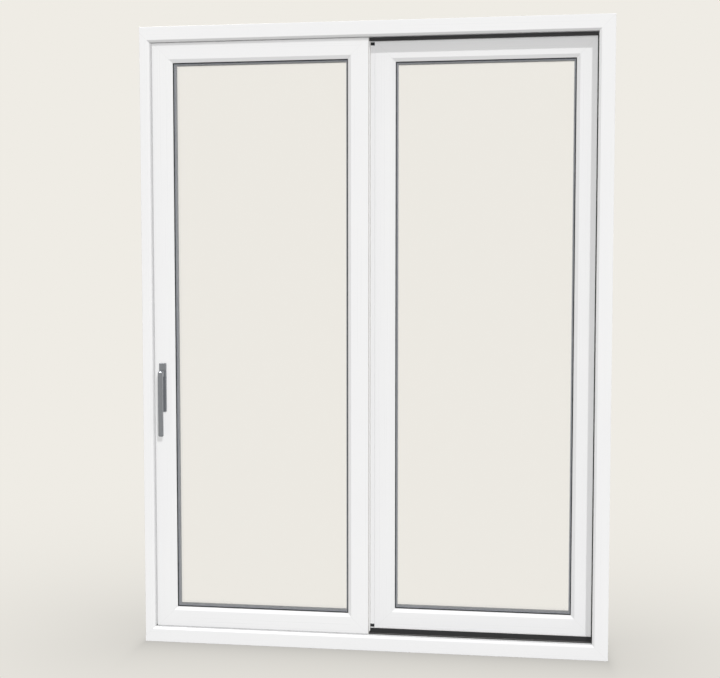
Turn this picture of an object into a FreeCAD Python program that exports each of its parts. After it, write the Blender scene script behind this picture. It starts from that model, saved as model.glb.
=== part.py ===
"""Two-leaf sliding patio door in a deep plastic frame.

The left leaf slides in the front channel, the right leaf is fixed in the rear channel.
+Z is up, -Y is the room side, the origin is the middle of the sill's underside.
In a profile, the first coordinate runs from the outer edge inwards and the second from the room
side to the outside.
"""
import FreeCAD
import Part
import Sketcher
import os

V = FreeCAD.Vector
doc = FreeCAD.newDocument("patio_door")
sheet = doc.addObject("Spreadsheet::Sheet", "Sizes")
pieces = []


class Size:
    """A length: its value in millimetres and the sheet expression that gives it."""

    def __init__(self, value, text):
        self.value = float(value)
        self.text = text

    def __add__(self, other):
        other = as_size(other)
        return Size(self.value + other.value, "(%s + %s)" % (self.text, other.text))

    def __sub__(self, other):
        other = as_size(other)
        return Size(self.value - other.value, "(%s - %s)" % (self.text, other.text))

    def __rsub__(self, other):
        return as_size(other) - self

    def __neg__(self):
        return Size(-self.value, "(0 - %s)" % self.text)

    def __mul__(self, number):
        return Size(self.value * number, "(%s * %s)" % (self.text, number))

    def __truediv__(self, number):
        return Size(self.value / number, "(%s / %s)" % (self.text, number))

    __radd__ = __add__
    __rmul__ = __mul__


def as_size(number):
    if isinstance(number, Size):
        return number
    return Size(number, "%s" % float(number))


def size(name, value):
    """Write one driving dimension into the sheet under its own name."""
    row = len(sheet.getUsedCells()) // 2 + 1
    sheet.set("A%d" % row, name)
    sheet.set("B%d" % row, "%s" % value)
    sheet.setAlias("B%d" % row, name)
    return Size(value, "Sizes.%s" % name)


# Outer frame
frame_width = size("frame_width", 1572)
frame_height = size("frame_height", 2100)
frame_depth = size("frame_depth", 176)
face_width = size("face_width", 44)
lock_face_width = size("lock_face_width", 25)
bevel_width = size("bevel_width", 7)
bevel_depth = size("bevel_depth", 8)
lip_depth = size("lip_depth", 22)
channel_drop = size("channel_drop", 21)
rib_thickness = size("rib_thickness", 4)
rib_rise = size("rib_rise", 1)
rib_clearance = size("rib_clearance", 2)
edge_round = size("edge_round", 2)
tip_round = size("tip_round", 1)
drain_width = size("drain_width", 28)
drain_height = size("drain_height", 5)
drain_step = size("drain_step", 560)

# Leaves
leaf_depth = size("leaf_depth", 60)
leaf_clearance = size("leaf_clearance", 5)
leaf_overlap = size("leaf_overlap", 5)
plane_gap = size("plane_gap", 15)
meeting_slit = size("meeting_slit", 11.5)
rebate_floor = size("rebate_floor", 55)
bead_width = size("bead_width", 15)
bead_slope = size("bead_slope", 11)
bead_bevel = size("bead_bevel", 9)
bead_nose = size("bead_nose", 2)
back_leg = size("back_leg", 11)
back_bevel = size("back_bevel", 8)
groove_width = size("groove_width", 24)
groove_depth = size("groove_depth", 24)
hairline = size("hairline", 0.15)

# Glazing
pane_thickness = size("pane_thickness", 4)
cavity = size("cavity", 10)
gasket_thickness = size("gasket_thickness", 3)
gasket_reveal = size("gasket_reveal", 3)
gasket_bite = size("gasket_bite", 9)
glass_gap = size("glass_gap", 4)
spacer_reveal = size("spacer_reveal", 7)
spacer_height = size("spacer_height", 12)

# Channel inserts and running gear
liner = size("liner", 3)
liner_wall_drop = size("liner_wall_drop", 1)
lock_liner_rise = size("lock_liner_rise", 15)
rail_width = size("rail_width", 5)
rail_rise = size("rail_rise", 10)
fin_width = size("fin_width", 4)
fin_rise = size("fin_rise", 23)
running_gap = size("running_gap", 0.3)
wheel_radius = size("wheel_radius", 8.5)
flange_height = size("flange_height", 2)
wheel_width = size("wheel_width", 9)
axle_radius = size("axle_radius", 3)
bogie_length = size("bogie_length", 150)
bogie_lift = size("bogie_lift", 2)
bogie_inset = size("bogie_inset", 110)
wheel_spacing = size("wheel_spacing", 84)
well_width = size("well_width", 10)
well_clearance = size("well_clearance", 2.5)
guide_length = size("guide_length", 60)
guide_height = size("guide_height", 20)
guide_floor = size("guide_floor", 8)
guide_gap = size("guide_gap", 0.5)

# Meeting stiles
interlock_wall = size("interlock_wall", 3)
interlock_reach = size("interlock_reach", 34)
interlock_leg = size("interlock_leg", 16)
interlock_lip = size("interlock_lip", 10)
hook_width = size("hook_width", 14)
hook_plate = size("hook_plate", 2)
hook_rise = size("hook_rise", 7)
hook_wall = size("hook_wall", 3)
hook_clearance = size("hook_clearance", 5)
block_rise = size("block_rise", 10)
packer_setback = size("packer_setback", 4)

# Lock and handle
plate_thickness = size("plate_thickness", 2.5)
lock_height = size("lock_height", 1400)
lock_foot = size("lock_foot", 350)
hook_slot_width = size("hook_slot_width", 12)
hook_slot_height = size("hook_slot_height", 46)
hook_slot_step = size("hook_slot_step", 600)
strike_width = size("strike_width", 22)
strike_height = size("strike_height", 130)
handle_offset = size("handle_offset", 29)
axis_height = size("axis_height", 930)
plate_width = size("plate_width", 24)
plate_above = size("plate_above", 36)
plate_below = size("plate_below", 132)
backplate_depth = size("backplate_depth", 9)
backplate_corner = size("backplate_corner", 3)
backplate_round = size("backplate_round", 1.5)
lever_width = size("lever_width", 16)
lever_grip = size("lever_grip", 13)
lever_reach = size("lever_reach", 30)
lever_drop = size("lever_drop", 214)
neck_half = size("neck_half", 11)
lever_bend = size("lever_bend", 13)
lever_heel = size("lever_heel", 8)
lever_tip = size("lever_tip", 4)
lever_round = size("lever_round", 2.5)
collar_radius = size("collar_radius", 10)
collar_depth = size("collar_depth", 4)

# Places that follow from the sizes
room_face = -frame_depth / 2
front_face = lip_depth + leaf_clearance
front_back = front_face + leaf_depth
fixed_face = front_back + plane_gap
rib_back = fixed_face - rib_clearance
rib_front = rib_back - rib_thickness
rear_lip = fixed_face + leaf_depth + packer_setback
front_mid = front_face + leaf_depth / 2
lip_tip = face_width + bevel_width
channel_floor = lip_tip - channel_drop
lock_floor = lock_face_width + bevel_width - channel_drop
leaf_foot = lip_tip - leaf_overlap
leaf_height = frame_height - leaf_foot * 2
leaf_width = frame_width / 2 - leaf_foot
leaf_nose = rebate_floor + bead_width
bead_back = bead_bevel + bead_nose
glass_front = bead_back + gasket_thickness
glass_back = glass_front + pane_thickness * 3 + cavity * 2
slide_left = -leaf_width - meeting_slit
slide_right = -meeting_slit
doc.recompute()


def outline(body, role, name, loops):
    """Closed outlines on one of the body's own planes, with every corner bound to the sheet."""
    sketch = body.newObject("Sketcher::SketchObject", name)
    plane = [feature for feature in body.Origin.OriginFeatures if feature.Role == role][0]
    sketch.AttachmentSupport = [(plane, "")]
    sketch.MapMode = "FlatFace"
    lines = []
    joins = []
    places = []
    for loop in loops:
        first = len(lines)
        corners = [(as_size(across), as_size(along)) for across, along in loop]
        count = len(corners)
        for i in range(count):
            start = corners[i]
            end = corners[(i + 1) % count]
            start_point = V(start[0].value, start[1].value, 0)
            lines.append(Part.LineSegment(start_point, V(end[0].value, end[1].value, 0)))
            joins.append(Sketcher.Constraint("Coincident", first + i, 2, first + (i + 1) % count, 1))
            places.append(("DistanceX", first + i, start[0]))
            places.append(("DistanceY", first + i, start[1]))
    sketch.addGeometry(lines, False)
    sketch.addConstraint(joins)
    sketch.addConstraint([Sketcher.Constraint(kind, -1, 1, i, 1, at.value) for kind, i, at in places])
    for k, (kind, i, at) in enumerate(places):
        sketch.setExpression("Constraints[%d]" % (len(joins) + k), at.text)
    return sketch


def rectangle(left, right, bottom, top):
    return [(left, bottom), (right, bottom), (right, top), (left, top)]


def place(thing, x, y, z, turn=None):
    """Put a piece at a point that follows the sheet."""
    thing.Placement = FreeCAD.Placement(V(0, 0, 0), turn or FreeCAD.Rotation())
    for axis, at in (("x", x), ("y", y), ("z", z)):
        thing.setExpression("Placement.Base.%s" % axis, as_size(at).text)


def new_body(label):
    body = doc.addObject("PartDesign::Body", label)
    body.Label = label
    return body


def pad(body, profile, length, both_sides=False):
    feature = body.newObject("PartDesign::Pad", body.Name + "_pad")
    feature.Profile = profile
    feature.setExpression("Length", as_size(length).text)
    if both_sides:
        feature.SideType = "Symmetric"
    doc.recompute()
    return feature


def rounded(body, feature, radius, wanted):
    """Round the edges that lie where the test wants them: each is seen as its middle and its ends."""
    names = []
    for i, edge in enumerate(feature.Shape.Edges):
        middle = edge.valueAt((edge.FirstParameter + edge.LastParameter) / 2)
        if wanted([middle] + [vertex.Point for vertex in edge.Vertexes]):
            names.append("Edge%d" % (i + 1))
    if not names:
        raise RuntimeError("no edge to round on " + body.Label)
    fillet = body.newObject("PartDesign::Fillet", body.Name + "_round")
    fillet.Base = (feature, names)
    fillet.setExpression("Radius", radius.text)
    doc.recompute()
    return fillet


def near(value, at):
    return abs(value - as_size(at).value) < 0.001


def along(corners):
    """A test for the edges that run along a bar at these corners of its section."""
    def test(points):
        return any(all(near(point.y, across) and near(point.z, depth) for point in points)
                   for across, depth in corners)
    return test


SIDES = ("bottom", "left", "top", "right")
TURNS = {
    "bottom": FreeCAD.Rotation(V(-1, 0, 0), V(0, 0, 1), V(0, 1, 0), "ZXY"),
    "left": FreeCAD.Rotation(V(0, 0, 1), V(1, 0, 0), V(0, 1, 0), "ZXY"),
    "top": FreeCAD.Rotation(V(1, 0, 0), V(0, 0, -1), V(0, 1, 0), "ZXY"),
    "right": FreeCAD.Rotation(V(0, 0, -1), V(-1, 0, 0), V(0, 1, 0), "ZXY"),
}


def bar(label, section, length, start_cut, end_cut, rounds=()):
    """A straight profile with mitred ends: padded along its length, then cut off at 45 degrees."""
    body = new_body(label)
    solid = pad(body, outline(body, "YZ_Plane", label + "_section", [section]), length)
    for radius, corners in rounds:
        solid = rounded(body, solid, radius, along(corners))
    out = face_width * 2
    inward = leaf_nose * 2
    start = [(start_cut - out, -out), (start_cut + inward, inward), (start_cut - out, inward)]
    stop = length - end_cut
    end = [(stop + out, -out), (stop + out, inward), (stop - inward, inward)]
    mitres = body.newObject("PartDesign::Pocket", label + "_mitres")
    mitres.Profile = outline(body, "XY_Plane", label + "_ends", [start, end])
    mitres.Type = "ThroughAll"
    mitres.SideType = "Symmetric"
    return body


def ring(labels, sections, faces, box, depth, gap=None, rounds=None):
    """Four mitred bars round a rectangle; box is its left, right, bottom and top."""
    left, right, low, high = box
    corner = {"bottom": (right, low), "left": (left, low), "top": (left, high), "right": (right, high)}
    bars = []
    for i, side in enumerate(SIDES):
        before = SIDES[i - 1]
        after = SIDES[(i + 1) % 4]
        length = right - left if side in ("bottom", "top") else high - low
        start_cut = faces[before] - faces[side]
        end_cut = faces[after] - faces[side]
        if gap is not None:
            start_cut = start_cut + gap
            end_cut = end_cut + gap
        round_list = rounds(faces[side]) if rounds else ()
        body = bar(labels[i], sections[side], length, start_cut, end_cut, round_list)
        place(body, corner[side][0], depth, corner[side][1], TURNS[side])
        bars.append(body)
    return bars


def group(label, members):
    """Like pieces that don't touch, kept as one named sub-part."""
    compound = doc.addObject("Part::Compound", label)
    compound.Label = label
    compound.Links = members
    pieces.append(compound)
    return compound


def block(label, x, y, z):
    """A plain block between two values on each axis."""
    box = doc.addObject("Part::Box", label)
    box.Label = label
    for name, (start, end) in (("Length", x), ("Width", y), ("Height", z)):
        box.setExpression(name, (as_size(end) - start).text)
    place(box, x[0], y[0], z[0])
    return box


# Outer frame: one profile with a bevelled room-side lip, two channels and the rib between them
faces = {side: face_width for side in SIDES}
faces["left"] = lock_face_width
frame_box = (-frame_width / 2, frame_width / 2, as_size(0), frame_height)


def frame_section(face):
    tip = face + bevel_width
    floor = tip - channel_drop
    crest = tip + rib_rise
    return [(0, 0), (face, 0), (tip, bevel_depth), (tip, lip_depth), (floor, lip_depth), (floor, rib_front),
            (crest, rib_front), (crest, rib_back), (floor, rib_back), (floor, rear_lip),
            (crest, rear_lip), (crest, frame_depth), (0, frame_depth)]


def frame_rounds(face):
    tip = face + bevel_width
    return [(edge_round, [(0, 0), (face, 0), (tip + rib_rise, frame_depth)]),
            (tip_round, [(tip, bevel_depth), (tip, lip_depth)])]


frame_labels = ("frame_sill", "frame_lock_jamb", "frame_head", "frame_far_jamb")
frame_sections = {side: frame_section(faces[side]) for side in SIDES}
frame_bars = ring(frame_labels, frame_sections, faces, frame_box, room_face, rounds=frame_rounds)
pieces += frame_bars

# Drain slots from the rear channel through the sill's outer lip
sill = frame_bars[0]
slots = []
for i in (-1, 0, 1):
    middle = frame_width / 2 + drain_step * i
    slots.append(rectangle(middle - drain_width / 2, middle + drain_width / 2,
                           channel_floor + liner, channel_floor + liner + drain_height))
drains = sill.newObject("PartDesign::Pocket", "sill_drains")
drain_outline = outline(sill, "XY_Plane", "sill_drain_outline", slots)
drain_outline.setExpression("AttachmentOffset.Base.z", frame_depth.text)
drains.Profile = drain_outline
drains.setExpression("Length", (frame_depth - rear_lip).text)


# Black inserts of the front channel: rail below, guide fin above, linings at the jambs
def liner_section(face, wall, ridge_width=None, ridge=None):
    floor = face + bevel_width - channel_drop
    top = floor + liner
    back = rib_front - liner
    points = [(floor, lip_depth), (top, lip_depth)]
    if ridge is not None:
        points += [(top, front_mid - ridge_width / 2), (floor + ridge, front_mid - ridge_width / 2),
                   (floor + ridge, front_mid + ridge_width / 2), (top, front_mid + ridge_width / 2)]
    return points + [(top, back), (wall, back), (wall, rib_front), (floor, rib_front)]


liner_wall = lip_tip - liner_wall_drop
liner_sections = {
    "bottom": liner_section(face_width, liner_wall, rail_width, rail_rise + liner),
    "left": liner_section(lock_face_width, lock_face_width + bevel_width + lock_liner_rise),
    "top": liner_section(face_width, liner_wall, fin_width, fin_rise + liner),
    "right": liner_section(face_width, liner_wall),
}
liner_labels = ("bottom_track", "lock_jamb_lining", "top_guide_track", "far_jamb_lining")
pieces += ring(liner_labels, liner_sections, faces, frame_box, room_face)

# Rear channel: dark floor strips, the packers that carry the fixed leaf, and the sealing blocks
rear_y = (room_face + rib_back, room_face + rear_lip)
channel_x = (-frame_width / 2 + lock_floor, frame_width / 2 - channel_floor)
sill_floor = channel_floor + liner
head_floor = frame_height - sill_floor
pieces.append(block("rear_sill_strip", channel_x, rear_y, (channel_floor, sill_floor)))
pieces.append(block("rear_head_strip", channel_x, rear_y, (head_floor, head_floor + liner)))
packer_y = (room_face + fixed_face + packer_setback, rear_y[1] - packer_setback * 2)
leaf_top = leaf_foot + leaf_height
packers = [
    block("packer_bottom", (packer_setback, leaf_width), packer_y, (sill_floor, leaf_foot)),
    block("packer_top", (packer_setback, leaf_width), packer_y, (leaf_top, head_floor)),
    block("packer_side", (leaf_width, channel_x[1]), packer_y,
          (leaf_foot + packer_setback, leaf_top - packer_setback)),
]
group("fixed_leaf_packers", packers)
seal_y = (rear_y[0], rear_y[0] + rib_clearance + interlock_leg)
crest_level = lip_tip + rib_rise
seal_x = (-interlock_reach, 0)
seals = [
    block("seal_low", seal_x, seal_y, (sill_floor, crest_level + block_rise)),
    block("seal_high", seal_x, seal_y, (frame_height - crest_level - block_rise, head_floor)),
]
group("meeting_seal_blocks", seals)


# Leaves: four mitred bars each, glazing beads, gaskets, three panes and two spacer frames
def leaf_section():
    low = leaf_depth / 2 - groove_width / 2
    high = leaf_depth / 2 + groove_width / 2
    leg = leaf_depth - back_leg
    return [(0, 0), (rebate_floor, 0), (rebate_floor, leg), (leaf_nose, leg),
            (leaf_nose, leaf_depth - back_bevel), (leaf_nose - back_bevel, leaf_depth), (0, leaf_depth),
            (0, high), (groove_depth, high), (groove_depth, low), (0, low)]


def leaf_rounds(face):
    return [(edge_round, [(0, 0), (0, leaf_depth)])]


def bead_section():
    flat = leaf_nose - bead_slope
    return [(rebate_floor, 0), (flat, 0), (leaf_nose, bead_bevel), (leaf_nose, bead_back),
            (rebate_floor, bead_back)]


def picture_frame(label, left, low, outer, inner, start, end):
    """A flat ring inside a leaf, between two insets from its edge and two depths."""
    body = new_body(label)
    wide = rectangle(outer, leaf_width - outer, outer, leaf_height - outer)
    hole = rectangle(inner, leaf_width - inner, inner, leaf_height - inner)
    pad(body, outline(body, "XZ_Plane", label + "_outline", [wide, hole]), end - start)
    place(body, left, end, low)
    return body


def leaf(name, left, face, outer_label, inner_label):
    even = {side: as_size(0) for side in SIDES}
    right = left + leaf_width
    box = (left, right, leaf_foot, leaf_top)
    depth = room_face + face
    left_name, right_name = outer_label, inner_label
    labels = (name + "_bottom_rail", name + left_name, name + "_top_rail", name + right_name)
    section = {side: leaf_section() for side in SIDES}
    pieces.extend(ring(labels, section, even, box, depth, rounds=leaf_rounds))
    bead_labels = [name + "_bead_" + side for side in SIDES]
    bead_sections = {side: bead_section() for side in SIDES}
    group(name + "_glazing_beads", ring(bead_labels, bead_sections, even, box, depth, gap=hairline))
    seal_outer = leaf_nose - gasket_bite
    seal_inner = leaf_nose + gasket_reveal
    pieces.append(picture_frame(name + "_room_gasket", left, leaf_foot, seal_outer, seal_inner,
                                depth + bead_back, depth + glass_front))
    pieces.append(picture_frame(name + "_outside_gasket", left, leaf_foot, seal_outer, seal_inner,
                                depth + glass_back, depth + leaf_depth - back_leg))
    edge = rebate_floor + glass_gap
    spacers = []
    start = depth + glass_front
    for i, pane in enumerate(("room", "middle", "outside")):
        pane_x = (left + edge, right - edge)
        pane_z = (leaf_foot + edge, leaf_top - edge)
        pieces.append(block("%s_%s_pane" % (name, pane), pane_x, (start, start + pane_thickness), pane_z))
        if pane != "outside":
            inner = leaf_nose + spacer_reveal
            spacer = picture_frame("%s_spacer_%d" % (name, i + 1), left, leaf_foot, inner - spacer_height,
                                   inner, start + pane_thickness, start + pane_thickness + cavity)
            spacers.append(spacer)
        start = start + pane_thickness + cavity
    group(name + "_glass_spacers", spacers)


leaf("sliding", slide_left, front_face, "_lock_stile", "_meeting_stile")
leaf("fixed", as_size(0), fixed_face, "_meeting_stile", "_jamb_stile")

# Meeting stiles: a hook behind the sliding stile and an angle that closes the slit from the fixed one
angle = new_body("fixed_interlock")
flange_y = as_size(0)
angle_points = [(-interlock_reach, -interlock_lip), (interlock_wall - interlock_reach, -interlock_lip),
                (interlock_wall - interlock_reach, flange_y), (0, flange_y), (0, interlock_leg),
                (-interlock_wall, interlock_leg), (-interlock_wall, interlock_wall),
                (-interlock_reach, interlock_wall)]
seal_top = crest_level + block_rise
pad(angle, outline(angle, "XY_Plane", "fixed_interlock_section", [angle_points]),
    frame_height - seal_top * 2)
place(angle, 0, room_face + fixed_face, seal_top)
pieces.append(angle)

hook = new_body("sliding_interlock")
hook_left = -interlock_reach + interlock_wall + hook_clearance
hook_points = [(hook_left, 0), (hook_left + hook_width, 0), (hook_left + hook_width, hook_plate),
               (hook_left + hook_wall, hook_plate), (hook_left + hook_wall, hook_rise),
               (hook_left, hook_rise)]
pad(hook, outline(hook, "XY_Plane", "sliding_interlock_section", [hook_points]),
    frame_height - seal_top * 2)
place(hook, 0, room_face + front_back, seal_top)
pieces.append(hook)

# Running gear in the grooves of the sliding leaf
leaf_axis_y = room_face + front_mid
groove_fit = groove_width / 2 - hairline
rail_top = sill_floor + rail_rise
wheel_height = rail_top + running_gap + wheel_radius
flange_radius = wheel_radius + flange_height
bogies = []
wheels = []
for end, centre in (("lock", slide_left + bogie_inset), ("meeting", slide_right - bogie_inset)):
    bogie = new_body("bogie_" + end)
    loops = [rectangle(-bogie_length / 2, bogie_length / 2, -groove_fit, groove_fit)]
    for sign in (-1, 1):
        middle = wheel_spacing * (sign / 2)
        well = flange_radius + well_clearance
        loops.append(rectangle(middle - well, middle + well, -well_width / 2, well_width / 2))
    pad(bogie, outline(bogie, "XY_Plane", "bogie_outline", loops), groove_depth - bogie_lift)
    place(bogie, centre, leaf_axis_y, leaf_foot + bogie_lift)
    bogies.append(bogie)
    for i, sign in enumerate((-1, 1)):
        wheel = new_body("wheel_%s_%d" % (end, i + 1))
        half = wheel_width / 2
        tread = rail_width / 2 + running_gap
        axle = well_width / 2
        profile = [(-axle, 0), (axle, 0), (axle, axle_radius), (half, axle_radius), (half, flange_radius),
                   (tread, flange_radius), (tread, wheel_radius), (-tread, wheel_radius),
                   (-tread, flange_radius), (-half, flange_radius), (-half, axle_radius),
                   (-axle, axle_radius)]
        sketch = outline(wheel, "YZ_Plane", "wheel_profile", [profile])
        turned = wheel.newObject("PartDesign::Revolution", "wheel_turned")
        turned.Profile = sketch
        turned.ReferenceAxis = (sketch, ["H_Axis"])
        turned.Angle = 360
        place(wheel, centre + wheel_spacing * (sign / 2), leaf_axis_y, wheel_height)
        wheels.append(wheel)
group("roller_housings", bogies)
group("roller_wheels", wheels)

guides = []
for end, centre in (("lock", slide_left + bogie_inset), ("meeting", slide_right - bogie_inset)):
    guide = new_body("guide_" + end)
    slot = fin_width / 2 + guide_gap
    fork = [(-groove_fit, 0), (groove_fit, 0), (groove_fit, guide_height), (slot, guide_height),
            (slot, guide_floor), (-slot, guide_floor), (-slot, guide_height), (-groove_fit, guide_height)]
    pad(guide, outline(guide, "YZ_Plane", "guide_section", [fork]), guide_length)
    place(guide, centre - guide_length / 2, leaf_axis_y, leaf_top - groove_depth)
    guides.append(guide)
group("top_guide_shoes", guides)

# Lock strip in the edge of the sliding leaf and the strike plates opposite its slots
strip = new_body("lock_faceplate")
strip_loops = [rectangle(-groove_fit, groove_fit, 0, lock_height)]
for i in (-1, 0, 1):
    middle = lock_height / 2 + hook_slot_step * i
    strip_loops.append(rectangle(-hook_slot_width / 2, hook_slot_width / 2,
                                 middle - hook_slot_height / 2, middle + hook_slot_height / 2))
pad(strip, outline(strip, "YZ_Plane", "lock_faceplate_outline", strip_loops), plate_thickness)
place(strip, slide_left, leaf_axis_y, lock_foot)
pieces.append(strip)

strikes = []
for i in (-1, 0, 1):
    strike = new_body("strike_%d" % (i + 2))
    loops = [rectangle(-strike_width / 2, strike_width / 2, -strike_height / 2, strike_height / 2),
             rectangle(-hook_slot_width / 2, hook_slot_width / 2,
                       -hook_slot_height / 2, hook_slot_height / 2)]
    pad(strike, outline(strike, "YZ_Plane", "strike_outline", loops), plate_thickness)
    place(strike, channel_x[0] + liner, leaf_axis_y, lock_foot + lock_height / 2 + hook_slot_step * i)
    strikes.append(strike)
group("lock_strike_plates", strikes)

# Handle: a rounded backplate on the lock stile and a lever that hangs from its neck
handle_x = slide_left + handle_offset
plate_y = room_face + front_face
backplate = new_body("handle_backplate")
plate_loop = rectangle(-plate_width / 2, plate_width / 2, -plate_below, plate_above)
slab = pad(backplate, outline(backplate, "XZ_Plane", "handle_backplate_outline", [plate_loop]),
           backplate_depth)


def on_plate_corner(points):
    return all(near(abs(point.x), plate_width / 2) for point in points) and (
        all(near(point.z, -plate_below) for point in points)
        or all(near(point.z, plate_above) for point in points))


def on_plate_front(points):
    return all(near(point.y, -backplate_depth) for point in points)


cornered = rounded(backplate, slab, backplate_corner, on_plate_corner)
rounded(backplate, cornered, backplate_round, on_plate_front)
place(backplate, handle_x, plate_y, axis_height)
pieces.append(backplate)

lever = new_body("handle_lever")
lever_front = running_gap - lever_reach
lever_back = lever_front + lever_grip
lever_points = [(0, neck_half), (lever_front, neck_half), (lever_front, -lever_drop),
                (lever_back, -lever_drop), (lever_back, -neck_half), (0, -neck_half)]
stem = pad(lever, outline(lever, "YZ_Plane", "handle_lever_side", [lever_points]), lever_width, True)


def on_lever_rim(points):
    return all(near(abs(point.x), lever_width / 2) for point in points) and not near(points[0].y, 0)


bent = rounded(lever, stem, lever_bend, along([(lever_front, neck_half)]))
heeled = rounded(lever, bent, lever_heel, along([(lever_back, -neck_half)]))
tips = [(lever_front, -lever_drop), (lever_back, -lever_drop)]
tipped = rounded(lever, heeled, lever_tip, along(tips))
rounded(lever, tipped, lever_round, on_lever_rim)
collar = lever.newObject("Sketcher::SketchObject", "handle_lever_collar")
collar_plane = [feature for feature in lever.Origin.OriginFeatures if feature.Role == "XZ_Plane"][0]
collar.AttachmentSupport = [(collar_plane, "")]
collar.MapMode = "FlatFace"
collar.addGeometry(Part.Circle(V(0, 0, 0), V(0, 0, 1), collar_radius.value), False)
collar.addConstraint(Sketcher.Constraint("Coincident", 0, 3, -1, 1))
collar.addConstraint(Sketcher.Constraint("Radius", 0, collar_radius.value))
collar.setExpression("Constraints[1]", collar_radius.text)
pad(lever, collar, collar_depth)
place(lever, handle_x, plate_y - backplate_depth - running_gap, axis_height)
pieces.append(lever)

doc.recompute()
for thing in doc.Objects:
    if "Invalid" in thing.State or "Error" in thing.State:
        raise RuntimeError("failed: %s %s" % (thing.Label, thing.State))
for piece in pieces:
    shape = piece.Shape
    if shape.isNull() or not shape.isValid() or not shape.Solids:
        raise RuntimeError("bad shape: " + piece.Label)

os.makedirs("parts", exist_ok=True)
for piece in pieces:
    piece.Shape.exportStep("parts/%s.step" % piece.Label)
    box = piece.Shape.BoundBox
    print("%-26s %d %10.0f  x %8.1f %8.1f  y %7.1f %7.1f  z %8.1f %8.1f" % (
        piece.Label, len(piece.Shape.Solids), piece.Shape.Volume, box.XMin, box.XMax, box.YMin, box.YMax,
        box.ZMin, box.ZMax))
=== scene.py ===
import math

import bmesh
import bpy
from mathutils import Matrix, Vector


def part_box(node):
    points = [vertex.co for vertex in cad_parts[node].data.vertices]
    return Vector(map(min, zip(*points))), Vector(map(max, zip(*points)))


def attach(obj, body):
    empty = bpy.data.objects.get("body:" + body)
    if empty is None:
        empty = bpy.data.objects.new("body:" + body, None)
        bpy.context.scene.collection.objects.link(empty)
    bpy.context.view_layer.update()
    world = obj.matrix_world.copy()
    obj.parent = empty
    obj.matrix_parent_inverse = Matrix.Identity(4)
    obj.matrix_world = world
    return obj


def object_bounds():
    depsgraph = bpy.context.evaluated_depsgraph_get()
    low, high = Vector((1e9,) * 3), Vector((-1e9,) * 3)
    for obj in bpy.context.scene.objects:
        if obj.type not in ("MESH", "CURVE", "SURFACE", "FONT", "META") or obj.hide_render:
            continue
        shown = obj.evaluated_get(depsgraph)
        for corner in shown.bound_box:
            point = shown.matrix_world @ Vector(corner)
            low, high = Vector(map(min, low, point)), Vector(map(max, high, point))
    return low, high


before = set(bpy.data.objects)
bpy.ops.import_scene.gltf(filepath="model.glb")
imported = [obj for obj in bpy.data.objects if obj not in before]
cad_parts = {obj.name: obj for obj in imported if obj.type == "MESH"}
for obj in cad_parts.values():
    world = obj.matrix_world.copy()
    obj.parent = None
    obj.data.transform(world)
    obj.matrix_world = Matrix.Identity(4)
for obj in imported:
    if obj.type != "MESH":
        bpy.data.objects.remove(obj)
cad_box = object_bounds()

bl_info = {
    "name": "Sliding patio door",
    "version": (1, 0, 0),
    "blender": (4, 5, 0),
    "location": "3D View > Sidebar > Patio door",
    "description": "Finishes, small fittings and studio for a two-leaf sliding patio door",
    "category": "Object",
}

MM = 0.001
PVC_IOR = 1.53
RUBBER_IOR = 1.48
NYLON_IOR = 1.53
GLASS_IOR = 1.52
PILE_IOR = 1.49
COMPOSITE_IOR = 1.5

# Distance between the lock's three points.
LOCK_STEP = 0.6
# Width and height of the slots that the lock's hooks go through.
HOOK_SLOT = (12 * MM, 46 * MM)
# Height of the front channel's lips above its floor.
LIP_RISE = 21 * MM
# A direction lies along an axis if this share of its length does.
ALONG = 0.9
# Edges that are sharper than this are bevelled.
SHARP = math.radians(40)
# Most values of a noise lie between these two.
NOISE = (0.3, 0.7)
# Width to height of the marks on plated steel: upright lines on rolled sheet, even grain on other parts.
SHEET_MARK = 0.02
PRESSED_MARK = 1.0


def linear(colour):
    """Linear red, green, blue and alpha of an sRGB hex colour."""
    shares = [int(colour[place:place + 2], 16) / 255 for place in (1, 3, 5)]
    return [s / 12.92 if s <= 0.04045 else ((s + 0.055) / 1.055) ** 2.4 for s in shares] + [1.0]


def add(tree, kind, inputs=None, **settings):
    """One shader node: its settings, and its inputs as plain values or as sockets that feed them."""
    node = tree.nodes.new("ShaderNode" + kind)
    for name, value in settings.items():
        setattr(node, name, value)
    for name, value in (inputs or {}).items():
        if isinstance(value, bpy.types.NodeSocket):
            tree.links.new(value, node.inputs[name])
        else:
            node.inputs[name].default_value = value
    return node


def own_place(tree):
    """Object coordinates."""
    return add(tree, "TexCoord").outputs["Object"]


def reckon(tree, operation, *values):
    """The result of a sum on plain values or sockets."""
    return add(tree, "Math", dict(enumerate(values)), operation=operation).outputs[0]


def stretch(tree, place, shares):
    """A place drawn out or pressed together along each axis."""
    return add(tree, "VectorMath", {0: place, 1: shares}, operation="MULTIPLY").outputs[0]


def spread(tree, value, across, to=(0.0, 1.0), **settings):
    """A value brought from one range to another."""
    inputs = {
        "Value": value,
        "From Min": across[0],
        "From Max": across[1],
        "To Min": to[0],
        "To Max": to[1],
    }
    return add(tree, "MapRange", inputs, **settings).outputs[0]


def blend(tree, share, first, second):
    """Two colours mixed, with this share of the second."""
    return add(tree, "Mix", {0: share, 6: first, 7: second}, data_type="RGBA").outputs[2]


def grain(tree, place, size, detail, **more):
    """Noise with grains of about this size."""
    inputs = {"Vector": place, "Scale": 1 / size, "Detail": detail, **more}
    return add(tree, "TexNoise", inputs).outputs["Fac"]


def bumps(tree, height, strength, depth):
    """A normal that follows a pattern of heights."""
    return add(tree, "Bump", {"Height": height, "Strength": strength, "Distance": depth}).outputs[0]


def new_material(name):
    """An empty node material and its output node."""
    material = bpy.data.materials.new(name)
    material.use_nodes = True
    material.node_tree.nodes.clear()
    return material, material.node_tree, add(material.node_tree, "OutputMaterial")


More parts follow.
